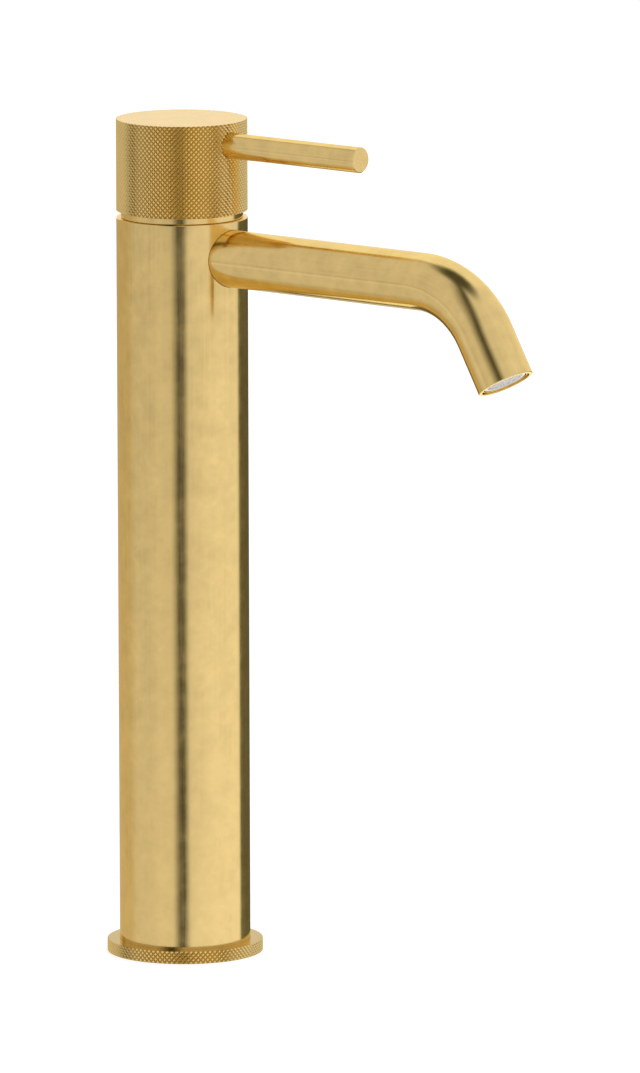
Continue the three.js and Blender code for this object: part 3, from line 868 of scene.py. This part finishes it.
def ramp(nodes, panels):
    """A colour ramp that goes right round the studio, through each panel in turn."""
    node = nodes.new("ShaderNodeValToRGB")
    elements = node.color_ramp.elements
    stops = [(turn, shown) for start, end, shown in panels for turn in (start, end)]
    while len(elements) < len(stops):
        elements.new(0.5)
    for element, (turn, shown) in zip(elements, stops):
        element.position = (turn + 180) / 360
        element.color = (*shown, 1)
    return node


class MIXER_OT_stage(bpy.types.Operator):
    """White floor, studio surroundings and the camera"""
    bl_idname = "mixer.stage"
    bl_label = "Stage"

    def execute(self, context):
        stage = context.scene.mixer_stage
        self.camera(context, stage)
        self.surroundings(context, stage)
        self.floor(stage)
        context.scene.view_settings.view_transform = "Standard"
        return {"FINISHED"}

    def camera(self, context, stage):
        turn, lift = stage.azimuth, stage.elevation
        right = Vector((math.cos(turn), math.sin(turn), 0))
        back = Vector((math.sin(turn) * math.cos(lift), -math.cos(turn) * math.cos(lift), math.sin(lift)))
        aim = right * stage.aim_aside + UP * stage.aim_height
        lens = bpy.data.cameras.new("camera")
        lens.lens = stage.lens
        lens.sensor_width = SENSOR_WIDTH
        lens.clip_end = FARTHEST
        camera = bpy.data.objects.new("camera", lens)
        context.scene.collection.objects.link(camera)
        level = Matrix((right, back.cross(right), back)).transposed()
        facing = level @ Matrix.Rotation(stage.roll, 3, "Z")
        camera.matrix_world = Matrix.Translation(aim + back * stage.distance) @ facing.to_4x4()
        context.scene.camera = camera

    def surroundings(self, context, stage):
        world = bpy.data.worlds.new("studio")
        context.scene.world = world
        world.use_nodes = True
        nodes, links = world.node_tree.nodes, world.node_tree.links
        nodes.clear()
        place = nodes.new("ShaderNodeTexCoord").outputs["Generated"]
        turned_place = nodes.new("ShaderNodeMapping")
        turned_place.inputs["Rotation"].default_value = (0, 0, math.pi / 2 - stage.azimuth)
        links.new(place, turned_place.inputs["Vector"])
        around = nodes.new("ShaderNodeTexGradient")
        around.gradient_type = "RADIAL"
        links.new(turned_place.outputs["Vector"], around.inputs["Vector"])
        height = nodes.new("ShaderNodeSeparateXYZ")
        links.new(place, height.inputs["Vector"])

        def band(panels):
            node = ramp(nodes, panels)
            links.new(around.outputs["Fac"], node.inputs["Fac"])
            return node.outputs["Color"]

        def by_height(heights, values=(0, 1), kind="SMOOTHSTEP"):
            """A number that goes from one value to another between two heights."""
            step = nodes.new("ShaderNodeMapRange")
            step.interpolation_type = kind
            links.new(height.outputs["Z"], step.inputs["Value"])
            for socket, value in zip(("From Min", "From Max", "To Min", "To Max"), (*heights, *values)):
                step.inputs[socket].default_value = value
            return step.outputs["Result"]

        def over(lower, upper, heights):
            """The upper colour takes over from the lower one between two heights."""
            mix = nodes.new("ShaderNodeMix")
            mix.data_type = "RGBA"
            links.new(by_height(heights), mix.inputs["Factor"])
            for socket, source in ((mix.inputs[6], lower), (mix.inputs[7], upper)):
                if isinstance(source, tuple):
                    socket.default_value = (*source, 1)
                else:
                    links.new(source, socket)
            return mix.outputs[2]

        low = nodes.new("ShaderNodeVectorMath")
        low.operation = "SCALE"
        links.new(band(LOW_PANELS), low.inputs[0])
        links.new(by_height(*LOW_LIFT, "LINEAR"), low.inputs["Scale"])
        dome = over(NADIR, band(STEEP_PANELS), NADIR_TO_STEEP)
        dome = over(dome, band(FLOOR_PANELS), STEEP_TO_FLOOR)
        dome = over(dome, low.outputs["Vector"], FLOOR_TO_LOW)
        dome = over(dome, band(HIGH_PANELS), LOW_TO_HIGH)
        dome = over(dome, ZENITH, HIGH_TO_ZENITH)
        mirrored = nodes.new("ShaderNodeBackground")
        mirrored.inputs["Strength"].default_value = stage.surround
        links.new(dome, mirrored.inputs["Color"])
        seen = nodes.new("ShaderNodeBackground")
        seen.inputs["Color"].default_value = WHITE
        chosen = nodes.new("ShaderNodeMixShader")
        links.new(nodes.new("ShaderNodeLightPath").outputs["Is Camera Ray"], chosen.inputs[0])
        links.new(mirrored.outputs[0], chosen.inputs[1])
        links.new(seen.outputs[0], chosen.inputs[2])
        links.new(chosen.outputs[0], nodes.new("ShaderNodeOutputWorld").inputs["Surface"])

    def floor(self, stage):
        clear()
        bpy.ops.mesh.primitive_plane_add(size=stage.floor_size)
        floor = bpy.context.object
        floor.name = "floor"
        floor.visible_glossy = False
        made = Finish("floor_white", roughness=0.9, base_color=FLOOR_GREY, emission_color=WHITE,
                      emission_strength=stage.floor_glow)
        floor.data.materials.append(made.material)


# ---------------------------------------------------------------- add-on
STEPS = ("finishes", "column", "neck", "base_ring", "cap", "lever", "spout", "aerator", "working_parts",
         "stage")


class MIXER_PT_build(bpy.types.Panel):
    """Every step of the mixer, in order, with its settings"""
    bl_idname = "MIXER_PT_build"
    bl_label = "Basin mixer"
    bl_space_type = "VIEW_3D"
    bl_region_type = "UI"
    bl_category = "Mixer"

    def draw(self, context):
        for group in (context.scene.mixer_sizes, context.scene.mixer_finishes, context.scene.mixer_stage):
            box = self.layout.box()
            for name in group.__annotations__:
                box.prop(group, name)
        for step in STEPS:
            self.layout.operator(f"mixer.{step}")


CLASSES = (
    MixerSizes, MixerFinishes, MixerStage, MIXER_OT_finishes, MIXER_OT_column, MIXER_OT_neck,
    MIXER_OT_base_ring, MIXER_OT_cap, MIXER_OT_lever, MIXER_OT_spout, MIXER_OT_aerator,
    MIXER_OT_working_parts, MIXER_OT_stage, MIXER_PT_build,
)


def register():
    for each in CLASSES:
        bpy.utils.register_class(each)
    bpy.types.Scene.mixer_sizes = PointerProperty(type=MixerSizes)
    bpy.types.Scene.mixer_finishes = PointerProperty(type=MixerFinishes)
    bpy.types.Scene.mixer_stage = PointerProperty(type=MixerStage)


def unregister():
    del bpy.types.Scene.mixer_stage
    del bpy.types.Scene.mixer_finishes
    del bpy.types.Scene.mixer_sizes
    for each in reversed(CLASSES):
        bpy.utils.unregister_class(each)


def main():
    register()
    for step in STEPS:
        getattr(bpy.ops.mixer, step)()


if __name__ == "__main__":
    main()
